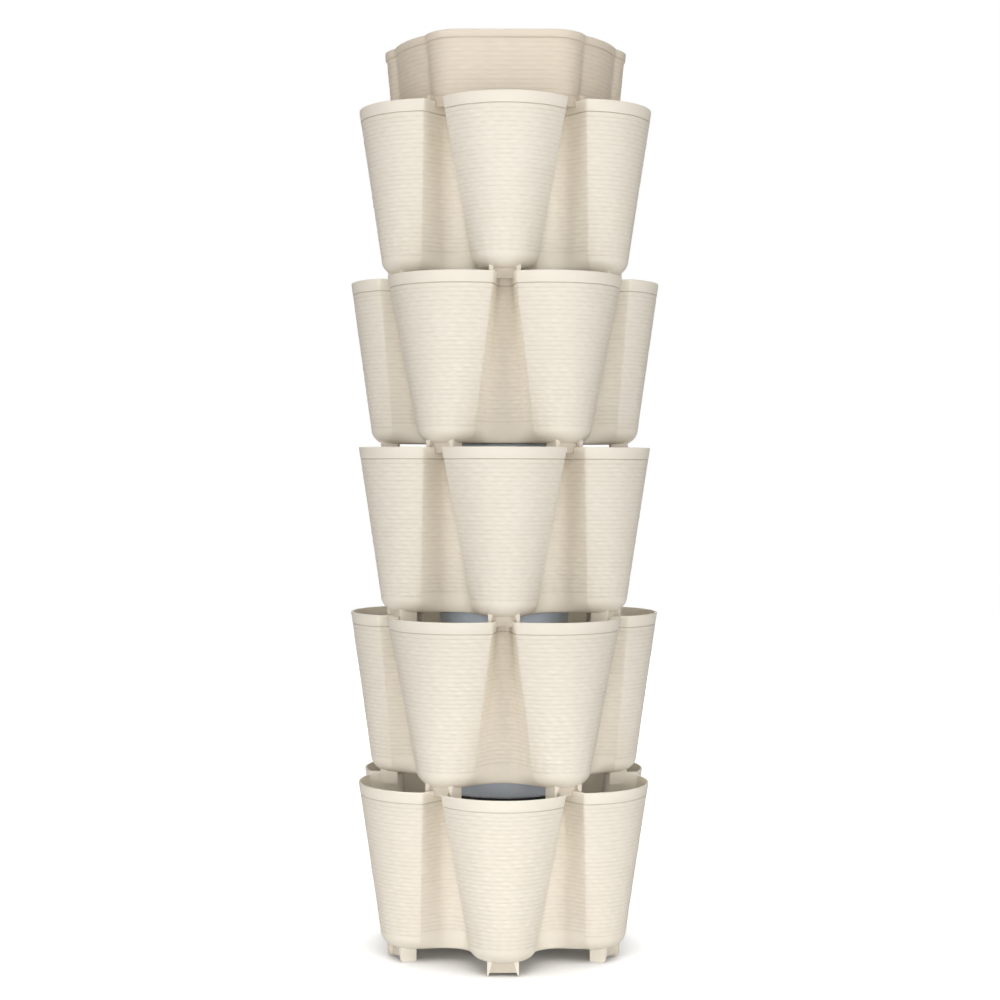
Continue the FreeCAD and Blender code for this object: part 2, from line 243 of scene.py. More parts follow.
def all_round(half_x, half_y, sides):
    """Closed plan lines from half a side that ends on +Y, mirrored and turned."""
    x = np.concatenate([half_x[:, :-1], -half_x[:, :0:-1]], 1)
    y = np.concatenate([half_y[:, :-1], half_y[:, :0:-1]], 1)
    turns = np.arange(sides) * 2 * math.pi / sides
    all_x = [x * math.cos(a) - y * math.sin(a) for a in turns]
    all_y = [x * math.sin(a) + y * math.cos(a) for a in turns]
    return np.concatenate(all_x, 1), np.concatenate(all_y, 1)


def outward(x, y):
    """Unit normals of closed plan lines that run anticlockwise."""
    along_x = np.roll(x, -1, 1) - np.roll(x, 1, 1)
    along_y = np.roll(y, -1, 1) - np.roll(y, 1, 1)
    length = np.hypot(along_x, along_y)
    return along_y / length, -along_x / length


def circle_row(like_x, like_y, radius, height):
    """One row on a circle, in the directions of another row's points: x, y, z and no way along."""
    distance = np.hypot(like_x, like_y)
    x, y = like_x / distance * radius, like_y / distance * radius
    return x, y, np.full_like(x, height), np.zeros_like(x)


def grid_faces(rows, columns, rows_closed):
    """Quads of a grid whose columns close on themselves, as an array of corner numbers."""
    row = np.arange(rows if rows_closed else rows - 1)[:, None]
    column = np.arange(columns)[None, :]
    next_row, next_column = (row + 1) % rows, (column + 1) % columns
    corners = [row * columns + column, row * columns + next_column,
               next_row * columns + next_column, next_row * columns + column]
    return np.stack(np.broadcast_arrays(*corners), -1).reshape(-1, 4)


def smooth(mesh, sharp_degrees):
    """Shades a mesh smooth but for the edges that turn by more than an angle."""
    mesh.shade_smooth()
    mesh.set_sharp_from_angle(angle=math.radians(sharp_degrees))


def make_mesh(name, points, faces, attributes=None):
    """A mesh from an array of points and arrays of faces, each with its own corner count."""
    mesh = bpy.data.meshes.new(name)
    corner_counts = np.concatenate([np.full(len(group), group.shape[1]) for group in faces])
    corners = np.concatenate([group.ravel() for group in faces]).astype(np.int32)
    starts = np.concatenate([[0], np.cumsum(corner_counts)[:-1]]).astype(np.int32)
    mesh.vertices.add(len(points))
    mesh.vertices.foreach_set("co", np.asarray(points, np.float32).ravel())
    mesh.loops.add(len(corners))
    mesh.loops.foreach_set("vertex_index", corners)
    mesh.polygons.add(len(corner_counts))
    mesh.polygons.foreach_set("loop_start", starts)
    for label, values in (attributes or {}).items():
        kind, field = ("FLOAT", "value") if values.ndim == 1 else ("FLOAT_VECTOR", "vector")
        attribute = mesh.attributes.new(label, kind, "POINT")
        attribute.data.foreach_set(field, np.asarray(values, np.float32).ravel())
    mesh.update(calc_edges=True)
    mesh.validate()
    smooth(mesh, sharp_degrees=42.0)
    return mesh


def box_solid(low, high):
    """Points and faces of a plain box."""
    x, y, z = zip(low, high)
    corners = [(x[i], y[j], z[k]) for k in (0, 1) for i, j in ((0, 0), (1, 0), (1, 1), (0, 1))]
    sides = [(0, 3, 2, 1), (4, 5, 6, 7), (0, 1, 5, 4), (1, 2, 6, 5), (2, 3, 7, 6), (3, 0, 4, 7)]
    return np.array(corners), [np.array(sides)]


def drum_solid(place, radius, low, high, sides=24):
    """Points and faces of an upright drum that stands on +X at a distance from the axis."""
    ring = np.arange(sides)
    angle = ring * 2 * math.pi / sides
    circle = np.column_stack([place + radius * np.cos(angle), radius * np.sin(angle)])
    points = np.concatenate([np.column_stack([circle, np.full(sides, z)]) for z in (low, high)])
    return points, [grid_faces(2, sides, False), ring[None, ::-1], sides + ring[None, :]]


def repeated(name, solids, angles):
    """One mesh of some solids repeated at angles round the axis: (points, faces, painted shade) each."""
    points, faces, painted_shade, count = [], [], [], 0
    for degrees in angles:
        matrix = np.array(Matrix.Rotation(math.radians(degrees), 3, "Z"))
        for solid_points, solid_faces, shade in solids:
            points.append(solid_points @ matrix.T)
            faces += [group + count for group in solid_faces]
            painted_shade.append(np.full(len(solid_points), shade))
            count += len(solid_points)
    attributes = {"surface": np.zeros((count, 3)), "painted_shade": np.concatenate(painted_shade)}
    return make_mesh(name, np.concatenate(points), faces, attributes)


def cut_out(mesh, cutter):
    """The mesh less a cutter of closed solids."""
    body, tool = bpy.data.objects.new("body", mesh), bpy.data.objects.new("tool", cutter)
    for item in (body, tool):
        bpy.context.scene.collection.objects.link(item)
    modifier = body.modifiers.new("cut", "BOOLEAN")
    modifier.solver = "EXACT"
    modifier.object = tool
    evaluated = body.evaluated_get(bpy.context.evaluated_depsgraph_get())
    result = bpy.data.meshes.new_from_object(evaluated)
    for item in (body, tool):
        bpy.data.objects.remove(item)
    return result


def joined(name, meshes, sharp_degrees):
    """One mesh of several, smooth but for its sharp edges."""
    whole = bmesh.new()
    for mesh in meshes:
        whole.from_mesh(mesh)
    result = bpy.data.meshes.new(name)
    whole.to_mesh(result)
    whole.free()
    smooth(result, sharp_degrees)
    return result


def placed(mesh, degrees, height):
    """A copy of a mesh, turned about the tower's axis and lifted."""
    copy = mesh.copy()
    copy.transform(Matrix.Translation((0.0, 0.0, height)) @ Matrix.Rotation(math.radians(degrees), 4, "Z"))
    return copy


def lathe(profile, columns):
    """A closed profile of (radius, height) points turned about the axis: points and quads."""
    angle = np.arange(columns) * 2 * math.pi / columns
    points = np.stack([
        profile[:, :1] * np.cos(angle), profile[:, :1] * np.sin(angle),
        np.broadcast_to(profile[:, 1:], (len(profile), columns)),
    ], -1)
    return points.reshape(-1, 3), [grid_faces(len(profile), columns, True)]


def eased(points, radius):
    """A closed profile with its corners cut, each by two short bevels."""
    points = np.asarray(points, float)
    before = np.roll(points, 1, 0) - points
    after = np.roll(points, -1, 0) - points
    length_before = np.linalg.norm(before, axis=1, keepdims=True)
    length_after = np.linalg.norm(after, axis=1, keepdims=True)
    start = points + before / length_before * np.minimum(radius, 0.45 * length_before)
    end = points + after / length_after * np.minimum(radius, 0.45 * length_after)
    middle = points * 0.42 + (start + end) * 0.29
    return np.stack([start, middle, end], 1).reshape(-1, 2)


def add_piece(name, mesh, material, body, node):
    """Puts a finished mesh in the scene in place of its CAD node."""
    mesh.materials.append(material)
    piece = bpy.data.objects.new(name, mesh)
    bpy.context.scene.collection.objects.link(piece)
    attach(piece, body)
    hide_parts(node)


# Plastics
# All the plastic has the fine pebbled skin and slight cloudiness of moulding. The woven kinds
# add fine fibres, thin broken lines between the weave's rows, and painted shade in its grooves.
GRAIN_STRENGTH = 0.35
CLOUD_SCALE = 9.0
CLOUD_TINT = 0.5  # how far the clouds change the colour, out of 1
CLOUD_GLOSS = 0.12  # how far they change the roughness
SPECULAR = 0.35
PAINTED_ROW_LINE_SHADE = 0.13  # how far painted shade darkens the lines between the rows, out of 1
ROW_LINE_ENDS = (0.02, 0.20)  # where a line is full and where it is gone, in rows from its middle
ROW_LINE_SUNK = 0.4  # how deep the lines are, in heights of the fibres
DASH_WAVES = (60.0, 7.3, 0.0)  # noise waves to a metre of the way round, and from row to row
DASH_ENDS, DASH_STRENGTHS = (0.40, 0.58), (0.10, 1.0)  # noise where a line is faint and full
FIBRE_WAVES = (70.0, 5.5, 0.0)
FIBRE_STRENGTH, FIBRE_HEIGHT = 0.6, 0.0005

grain_group = bpy.data.node_groups.new("moulded_grain", "ShaderNodeTree")
for label, side in (("Grain Scale", "INPUT"), ("Grain", "OUTPUT"), ("Cloud", "OUTPUT")):
    grain_group.interface.new_socket(label, in_out=side, socket_type="NodeSocketFloat")
grain_in = grain_group.nodes.new("NodeGroupInput")
grain_out = grain_group.nodes.new("NodeGroupOutput")
position = grain_group.nodes.new("ShaderNodeTexCoord")
fine = grain_group.nodes.new("ShaderNodeTexNoise")
fine.inputs["Detail"].default_value = 2.0
cloud = grain_group.nodes.new("ShaderNodeTexNoise")
cloud.inputs["Detail"].default_value = 3.0
cloud.inputs["Scale"].default_value = CLOUD_SCALE
feed(grain_group, position.outputs["Object"], fine.inputs["Vector"])
feed(grain_group, position.outputs["Object"], cloud.inputs["Vector"])
feed(grain_group, grain_in.outputs["Grain Scale"], fine.inputs["Scale"])
feed(grain_group, fine.outputs["Fac"], grain_out.inputs["Grain"])
feed(grain_group, cloud.outputs["Fac"], grain_out.inputs["Cloud"])


def moulded_plastic(name, colour, dark_colour, roughness, grain_scale, grain_height):
    """A plastic with moulded grain. Returns the material, its bump node and its clouded colour."""
    material = bpy.data.materials.new(name)
    material.use_nodes = True
    tree = material.node_tree
    shader = tree.nodes["Principled BSDF"]
    grain = tree.nodes.new("ShaderNodeGroup")
    grain.node_tree = grain_group
    grain.inputs["Grain Scale"].default_value = grain_scale
    bump = tree.nodes.new("ShaderNodeBump")
    bump.inputs["Strength"].default_value = GRAIN_STRENGTH
    bump.inputs["Distance"].default_value = grain_height
    feed(tree, grain.outputs["Grain"], bump.inputs["Height"])
    feed(tree, bump.outputs["Normal"], shader.inputs["Normal"])
    tint = math_node(tree, "MULTIPLY", grain.outputs["Cloud"], CLOUD_TINT)
    clouded = mixed_colour(tree, tint, colour, dark_colour)
    feed(tree, clouded, shader.inputs["Base Color"])
    gloss = math_node(tree, "MULTIPLY", grain.outputs["Cloud"], CLOUD_GLOSS)
    feed(tree, math_node(tree, "ADD", gloss, roughness - CLOUD_GLOSS / 2), shader.inputs["Roughness"])
    shader.inputs["Specular IOR Level"].default_value = SPECULAR
    return material, bump, clouded


def woven_plastic(name, colour, cloud_colour, painted_shade_colour):
    """Moulded plastic with a weave.

    Attribute "surface" holds the way round, the row with its part, and 1 where there is weave.
    A second attribute holds painted shade, how far the colour goes to the shade colour.
    """
    material, bump, clouded = moulded_plastic(
        name, colour, cloud_colour, roughness=0.52, grain_scale=1500.0, grain_height=0.0002)
    tree = material.node_tree
    shader = tree.nodes["Principled BSDF"]
    surface = attribute_node(tree, "surface").outputs["Vector"]
    painted_shade = attribute_node(tree, "painted_shade").outputs["Fac"]
    split = tree.nodes.new("ShaderNodeSeparateXYZ")
    feed(tree, surface, split.inputs[0])
    way, row, woven = split.outputs["X"], split.outputs["Y"], split.outputs["Z"]

    thin = map_range(tree, math_node(tree, "PINGPONG", row, 0.5), ROW_LINE_ENDS, (1.0, 0.0), "SMOOTHSTEP")
    own_row = tree.nodes.new("ShaderNodeCombineXYZ")
    feed(tree, way, own_row.inputs["X"])
    feed(tree, math_node(tree, "ROUND", row), own_row.inputs["Y"])
    dashes = map_range(tree, noise(tree, own_row.outputs[0], DASH_WAVES), DASH_ENDS, DASH_STRENGTHS)
    lines = math_node(tree, "MULTIPLY", thin, dashes)
    # Painted shade in the sunk lines between the rows
    painted_line_shade = math_node(tree, "MULTIPLY", math_node(tree, "MULTIPLY", lines, woven), PAINTED_ROW_LINE_SHADE)
    # All the painted shade, from the attribute and from the lines
    all_painted_shade = math_node(tree, "ADD", painted_shade, painted_line_shade, clamp=True)
    feed(tree, mixed_colour(tree, all_painted_shade, clouded, painted_shade_colour), shader.inputs["Base Color"])

    fibres = noise(tree, surface, FIBRE_WAVES)
    relief = math_node(tree, "SUBTRACT", fibres, math_node(tree, "MULTIPLY", lines, ROW_LINE_SUNK))
    fibre_bump = tree.nodes.new("ShaderNodeBump")
    fibre_bump.inputs["Strength"].default_value = FIBRE_STRENGTH
    fibre_bump.inputs["Distance"].default_value = FIBRE_HEIGHT
    feed(tree, math_node(tree, "MULTIPLY", relief, woven), fibre_bump.inputs["Height"])
    feed(tree, bump.outputs["Normal"], fibre_bump.inputs["Normal"])
    feed(tree, fibre_bump.outputs["Normal"], shader.inputs["Normal"])
    return material


# Tiers
# Five like shells moulded in stone-coloured plastic, each with six tapering pockets, a basket
# weave on the outside and a smooth rim band. Feet under the pockets drop into the notches of the
# tier beneath, which is turned by half a pocket.
TIERS = 5
POCKETS = 6
PITCH = 0.250
RIM = 0.263
UNDERSIDE = 0.019
FLOOR_TOP = 0.022
WALL = 0.003
ROUNDING = 0.024
RIM_BAND = 0.0172
ARC_COLUMNS, CORNER_COLUMNS, STRAIGHT_COLUMNS, VALLEY_COLUMNS = 26, 2, 8, 8
HALF_COLUMNS = ARC_COLUMNS + CORNER_COLUMNS + STRAIGHT_COLUMNS + VALLEY_COLUMNS
TIER_COLUMNS = POCKETS * 2 * HALF_COLUMNS
ROUNDED_ROWS, INNER_ROUNDED_ROWS, INNER_ROWS = 9, 5, 8

# The outline's sizes at the underside and at the rim
REACH = (0.2013, 0.235)
POCKET_RADIUS = (0.0465, 0.110)
SPREAD = (math.radians(72.0), math.radians(54.3))
CORNER_RADIUS = (0.004, 0.005)
VALLEY_DEPTH = (0.0753, 0.077)
SLOT_RADIUS = (0.034, 0.009)


def rising(ends, height):
    """A straight run from the first value at the underside to the second at the rim."""
    return ends[0] + (ends[1] - ends[0]) * (height - UNDERSIDE) / (RIM - UNDERSIDE)


# Where the tapering wall meets the rounded lower ends, and where these turn flat
LEAN = math.atan((POCKET_RADIUS[1] - POCKET_RADIUS[0]) / (RIM - UNDERSIDE))
MEET = UNDERSIDE + ROUNDING - ROUNDING * math.sin(LEAN)
MEET_RADIUS = rising(POCKET_RADIUS, MEET)
MEET_CENTRE = rising(REACH, MEET) - MEET_RADIUS
MEET_BACK = rising(REACH, MEET) - rising(VALLEY_DEPTH, MEET)
END_SPREAD, END_SLOT, END_BACK = math.radians(60.0), 0.045, 0.004

# The weave, which the reservoir has too
WEAVE_ROWS = 33
WEAVE_TOP = RIM - RIM_BAND - 0.0009
ROW_PITCH = (WEAVE_TOP - MEET) / WEAVE_ROWS
ROW_SAMPLES = 4
ROW_FLATNESS = 0.7
STRAND_COLUMNS = 6
STRAND_RISE = 0.00055
ROW_GROOVE = 0.00013
RECESS = 0.00025
PAINTED_GROOVE_SHADE = 0.09  # how far painted shade darkens the weave's grooves, out of 1
CROWN_SHARE = 0.65  # how much of that painted shade a strand's own crown takes away
PAINTED_BAND_LINE_SHADE = 0.55  # how far painted shade darkens the groove line under the rim band

# From the groove under the rim band over the rim to the inside: (height over the band's foot or
# over the rim, inset from the outside)
BAND_LINE = [(-0.0005, 0.0012), (0.0, 0.0012), (0.0004, 0.0), (0.006, 0.0)]
RIM_EDGE = [(-0.0012, 0.0), (-0.0004, 0.0003), (0.0, 0.0010), (0.0, WALL - 0.0010),
            (-0.0004, WALL - 0.0003), (-0.0012, WALL)]
# From the inner floor up the central tube, over its head and down its bore: (radius, height)
TUBE = [(0.10, FLOOR_TOP), (0.0345, FLOOR_TOP), (0.034, 0.0225), (0.0301, 0.2360), (0.0295, 0.2371),
        (0.0275, 0.2371), (0.027, 0.2360), (0.031, 0.0195)]
UNDER_RADII = (0.031, 0.06, 0.10)

# Feet of two fins and a web, and the notches for them, as they lie on +Y
FIN_START, FIN_END, FIN_CUT = 0.162, 0.188, 0.007
FIN_OUTSIDE, FIN_ROOT, FIN_TIP = 0.0229, 0.0064, 0.0015
WEB_PLACE, WEB_WALL, WEB_RISE = 0.179, 0.003, 0.0045
PAINTED_WEB_SHADE = 0.35  # painted shade on the web, which lies in the shade of the fins
FOOT_ROOT, TANK_FOOT_ROOT = 0.009, 0.0015  # how far the feet reach up into the shell
NOTCH_DEPTH, NOTCH_PLAY = 0.0088, 0.001


def pocket_outline(centre, radius, spread, corner, back, slot, inset):
    """Plan of the tier, one row for each height: x, y and the way along from a pocket's crest.

    From the crest the line follows the pocket's circle, turns over a small corner, runs straight
    and goes round the valley's back on +Y. The straight wall touches the corner's circle and the
    valley's, one on each side of it.
    """
    centre, radius, spread, corner, back, slot, inset = (
        value[:, None] for value in np.broadcast_arrays(
            *np.atleast_1d(centre, radius, spread, corner, back, slot, inset))
    )
    crest = math.pi / 2 - math.pi / POCKETS
    pocket_x, pocket_y = centre * math.cos(crest), centre * math.sin(crest)
    arc_end = crest + spread
    corner_x = pocket_x + (radius - corner) * np.cos(arc_end)
    corner_y = pocket_y + (radius - corner) * np.sin(arc_end)
    valley_y = back + slot
    link = np.hypot(corner_x, corner_y - valley_y)
    wall = np.arctan2(corner_y - valley_y, corner_x) - np.arccos((slot + corner) / link)
    first = arc(pocket_x, pocket_y, radius - inset, crest, arc_end, ARC_COLUMNS)
    second = arc(corner_x, corner_y, corner - inset, arc_end, wall + math.pi, CORNER_COLUMNS)
    wall_x = corner_x - (corner - inset) * np.cos(wall)
    wall_y = corner_y - (corner - inset) * np.sin(wall)
    share = (np.arange(STRAIGHT_COLUMNS) / STRAIGHT_COLUMNS)[None, :]
    third = (wall_x + ((slot + inset) * np.cos(wall) - wall_x) * share,
             wall_y + (valley_y + (slot + inset) * np.sin(wall) - wall_y) * share)
    fourth = arc(0.0, valley_y, slot + inset, wall, -math.pi / 2, VALLEY_COLUMNS, True)
    half_x, half_y = (np.concatenate(parts, 1) for parts in zip(first, second, third, fourth))
    steps = np.hypot(np.diff(half_x, axis=1), np.diff(half_y, axis=1))
    half_way = np.concatenate([np.zeros_like(steps[:, :1]), np.cumsum(steps, 1)], 1)
    way = np.concatenate([half_way[:, :-1], half_way[:, :0:-1]], 1)
    return (*all_round(half_x, half_y, POCKETS), np.tile(way, (1, POCKETS)))


def wall_rows(heights, inset):
    """The tapering wall at some heights, on straight lines from the rounding up to the rim."""
    heights, inset = np.broadcast_arrays(heights, inset)
    ends = []
    for level in (MEET, RIM):
        radius = rising(POCKET_RADIUS, level)
        ends.append(pocket_outline(
            rising(REACH, level) - radius, radius, rising(SPREAD, level), rising(CORNER_RADIUS, level),
            rising(REACH, level) - rising(VALLEY_DEPTH, level), rising(SLOT_RADIUS, level), inset,
        ))
    share = ((heights - MEET) / (RIM - MEET))[:, None]
    x, y, way = (low + (high - low) * share for low, high in zip(*ends))
    return x, y, np.broadcast_to(heights[:, None], x.shape), way


def rounded_rows(steps, inset):
    """The rounded lower ends, from the flat underside up to where the wall starts.

    Each row is at an angle on the rounding's quarter circle. Set in by the wall's thickness,
    it moves along that angle.
    """
    angle = math.pi / 2 - (math.pi / 2 - LEAN) * np.arange(steps) / steps
    share = 1 - np.cos(angle) / math.cos(LEAN)
    spread, slot = rising(SPREAD, MEET), rising(SLOT_RADIUS, MEET)
    x, y, way = pocket_outline(
        MEET_CENTRE, MEET_RADIUS - ROUNDING * math.cos(LEAN) + ROUNDING * np.cos(angle),
        spread + (END_SPREAD - spread) * share, CORNER_RADIUS[0], MEET_BACK - END_BACK * share,
        slot + (END_SLOT - slot) * share, inset * np.cos(angle),
    )
    height = UNDERSIDE + ROUNDING - (ROUNDING - inset) * np.sin(angle)
    return x, y, np.broadcast_to(height[:, None], x.shape), way


rng = np.random.default_rng(7)
strands = TIER_COLUMNS // STRAND_COLUMNS + 1
strand_heights = rng.uniform(0.15, 1.15, (WEAVE_ROWS + 1, strands))
strand_shifts = rng.uniform(0.0, 2 * math.pi, WEAVE_ROWS + 1)


def weave(row, column):
    """Shape of the basket weave: across a row, from 0 in the groove to 1, and along the strand.

    Across a row the strand is a flattened half wave. Along it the strand dives and rises once in
    STRAND_COLUMNS, and each row starts at its own place. Each strand has its own height.
    """
    across = np.abs(np.sin(np.pi * row)) ** ROW_FLATNESS
    number = np.floor(row + 1e-6).astype(int) % len(strand_shifts)
    turn = 2 * np.pi * column / STRAND_COLUMNS + strand_shifts[number]
    own = strand_heights[number, np.floor(turn / (2 * np.pi)).astype(int) % strands]
    return across, (0.5 - 0.5 * np.cos(turn)) * own


def painted_weave_shade(across, wave):
    """How far painted shade darkens the weave: most in the grooves, least on the strands' crowns."""
    return PAINTED_GROOVE_SHADE * (1 - across * (1 - CROWN_SHARE + CROWN_SHARE * wave))


def tier_shell():
    """The whole closed shell: underside, rounding, woven wall, rim band, inside, tube."""
    rounded = rounded_rows(ROUNDED_ROWS, 0.0)
    under = [circle_row(rounded[0][0], rounded[1][0], radius, UNDERSIDE) for radius in UNDER_RADII]

    row = np.arange(WEAVE_ROWS * ROW_SAMPLES + 1) / ROW_SAMPLES
    x, y, z, way = wall_rows(MEET + ROW_PITCH * row, 0.0)
    columns = np.arange(TIER_COLUMNS)[None, :]
    across, wave = weave(row[:, None], columns)
    from_crest = np.minimum(columns % (2 * HALF_COLUMNS), -columns % (2 * HALF_COLUMNS))
    first_row = np.where(from_crest > ARC_COLUMNS + CORNER_COLUMNS, 1.0, 0.0)
    mask = np.clip(row[:, None] - first_row, 0.0, 1.0)
    normal_x, normal_y = outward(x, y)
    lift = mask * (across * (ROW_GROOVE + STRAND_RISE * wave) - ROW_GROOVE - RECESS)
    woven = (x + normal_x * lift, y + normal_y * lift, z, way)

    band_heights = [RIM - RIM_BAND + height for height, _ in BAND_LINE]
    band_heights += [RIM + height for height, _ in RIM_EDGE]
    band = wall_rows(band_heights, [inset for _, inset in BAND_LINE + RIM_EDGE])
    inner = wall_rows(np.linspace(RIM - 0.02, MEET, INNER_ROWS), WALL)
    inner_round = [part[::-1] for part in rounded_rows(INNER_ROUNDED_ROWS, WALL)]
    like_x, like_y = inner_round[0][-1], inner_round[1][-1]
    tube = [circle_row(like_x, like_y, radius, height) for radius, height in TUBE]

    parts = under + [rounded, woven, band, inner, inner_round] + tube
    x, y, z, way = (np.concatenate([np.atleast_2d(part[k]) for part in parts]) for k in range(4))
    painted_shade, woven_mask = np.zeros(x.shape), np.zeros(x.shape)
    first = len(under) + len(rounded[0])
    last = first + len(row)
    # Painted shade in the weave's grooves
    painted_shade[first:last] = mask * painted_weave_shade(across, wave)
    # Painted shade in the groove line under the rim band
    painted_shade[last:last + 2] = PAINTED_BAND_LINE_SHADE
    woven_mask[first:last] = mask
    surface = np.stack([way, (z - MEET) / ROW_PITCH, woven_mask], -1).reshape(-1, 3)
    points = np.stack([x, y, z], -1).reshape(-1, 3)
    attributes = {"surface": surface, "painted_shade": painted_shade.ravel()}
    return make_mesh("tier_whole", points, [grid_faces(*x.shape, True)], attributes)


def foot_solids(top):
    """Two fins, each a side view pushed through its thickness, and the web between them, on +Y."""
    corner = np.linspace(-math.pi / 2, 0.0, 6)
    toe = [(FIN_END - FIN_CUT + FIN_CUT * math.cos(a), FIN_CUT + FIN_CUT * math.sin(a)) for a in corner]
    profile = np.array([(FIN_START, 0.0), *toe, (FIN_END, top), (FIN_START, top)])
    inside = FIN_OUTSIDE - FIN_TIP - (FIN_ROOT - FIN_TIP) * profile[:, 1] / UNDERSIDE
    outer = np.column_stack([np.full(len(profile), FIN_OUTSIDE), profile])
    inner = np.column_stack([inside, profile])
    count = len(profile)
    ring = np.arange(count)
    sides = np.stack([ring, (ring + 1) % count, count + (ring + 1) % count, count + ring], 1)
    fin_points, fin_faces = np.concatenate([inner, outer]), [sides, ring[None, ::-1], count + ring[None, :]]
    mirrored = (fin_points * (-1, 1, 1), [group[:, ::-1] for group in fin_faces])
    web = box_solid((-FIN_OUTSIDE + 0.001, WEB_PLACE - WEB_WALL / 2, WEB_RISE),
                    (FIN_OUTSIDE - 0.001, WEB_PLACE + WEB_WALL / 2, top))
    # The web is darkened with painted shade
    return [(fin_points, fin_faces, 0.0), (*mirrored, 0.0), (*web, PAINTED_WEB_SHADE)]


valley_angles = [360.0 * k / POCKETS for k in range(POCKETS)]
pocket_angles = [180.0 / POCKETS + angle for angle in valley_angles]
half_notch = WEB_WALL / 2 + NOTCH_PLAY
notch = box_solid((-FIN_OUTSIDE, WEB_PLACE - half_notch, RIM - NOTCH_DEPTH),
                  (FIN_OUTSIDE, WEB_PLACE + half_notch, RIM + 0.001))
shell = cut_out(tier_shell(), repeated("notches", [(*notch, 0.0)], valley_angles))
feet = repeated("feet", foot_solids(UNDERSIDE + FOOT_ROOT), pocket_angles)
tier_mesh = joined("tier", [shell, feet], sharp_degrees=58.0)
# The last colour is the painted shade's colour
stone = woven_plastic("stone_plastic", srgb(243, 236, 223), srgb(236, 226, 208), srgb(160, 146, 124))
for number in range(1, TIERS + 1):
    node = "tier_%d" % number
    mesh = placed(tier_mesh, 180.0 / POCKETS * (number % 2), (number - 1) * PITCH)
    add_piece(node + "_shell", mesh, stone, node, node)

DISK_COLUMNS = 120


def add_turned(kind, profile, foot, material):
    """A turned piece in each tier, its profile's zero at a height over the tier's own."""
    points, faces = lathe(profile, DISK_COLUMNS)
    for number in range(1, TIERS + 1):
        name = "%s_%d" % (kind, number)
        mesh = make_mesh(name + "_dressed", points + (0, 0, (number - 1) * PITCH + foot), faces)
        add_piece(name + "_dressed", mesh, material, name, name)


# Support plates
# Flat charcoal disks moulded in plastic. Each sits over the head of a tier's central tube by a
# blind socket and carries the water disk.
PLATE_TOP = RIM - 0.0225
PLATE_THICK, PLATE_RADIUS = 0.0072, 0.0970
SOCKET_DEEP, SOCKET_RADIUS = 0.0040, 0.0303
PLATE_BORE = 0.0086
charcoal = moulded_plastic(
    "charcoal_plastic", srgb(52, 52, 56), srgb(40, 40, 43),
    roughness=0.55, grain_scale=1200.0, grain_height=0.0002,
)[0]
plate_profile = eased([
    (PLATE_BORE, SOCKET_DEEP), (SOCKET_RADIUS, SOCKET_DEEP), (SOCKET_RADIUS, 0.0), (PLATE_RADIUS, 0.0),
    (PLATE_RADIUS, PLATE_THICK), (PLATE_BORE, PLATE_THICK),
], 0.0008)
add_turned("support_plate", plate_profile, PLATE_TOP - PLATE_THICK, charcoal)

# Water disks
# Blue-grey plastic bowls that lie on the support plates and take the water from above. What the
# bowl doesn't hold runs down the standpipe in its middle.
DISK_FOOT = PLATE_TOP + 0.0003
DISK_DEEP, DISK_WALL = 0.0276, 0.0020
PIPE_BORE, PIPE_RADIUS, PIPE_LOW, PIPE_HIGH = 0.0060, 0.0080, -0.0120, 0.0140
slate = moulded_plastic(
    "slate_plastic", srgb(216, 228, 244), srgb(202, 213, 229),
    roughness=0.42, grain_scale=1200.0, grain_height=0.00015,
)[0]
disk_profile = eased([
    (PIPE_BORE, PIPE_LOW), (PIPE_RADIUS, PIPE_LOW), (PIPE_RADIUS, 0.0), (0.0960, 0.0), (0.0985, 0.0025),
    (0.0995, DISK_DEEP), (0.0975, DISK_DEEP), (0.0965, 0.0035), (0.0950, DISK_WALL),
    (PIPE_RADIUS, DISK_WALL), (PIPE_RADIUS, PIPE_HIGH), (PIPE_BORE, PIPE_HIGH),
], 0.0006)
add_turned("water_disk", disk_profile, DISK_FOOT, slate)

# Reservoir
# An open basin in the tiers' plastic, with three broad flat sides, round corners over the
# pockets' valleys and round stretches between. A smooth rim band stands proud of the fine weave.
TANK_SIDES = 3
TANK_RIM = 0.114
TANK_BAND, BAND_PROUD = 0.0114, 0.0015
TANK_FLAT, TANK_HALF_FLAT, TANK_CORNER, TANK_ROUND = 0.165, 0.065, 0.053, 0.1705
FLAT_COLUMNS, TANK_CORNER_COLUMNS, ROUND_COLUMNS = 10, 14, 8
TANK_TAPER = 0.009
TANK_EDGE = 0.004
TANK_RINGS = (0.10, 0.05, 0.02)
TANK_WEAVE_ROWS = 12
TANK_GROOVE, TANK_RISE, TANK_RECESS = 0.00025, 0.0003, 0.0002
TANK_LINE = 0.0005  # the thin line left between the weave and the band
TANK_WOVEN = 0.7  # its fibres and lines are fainter than the tiers'
NOZZLE_PLACE = 0.060
NOZZLE_HOLE = 0.0043


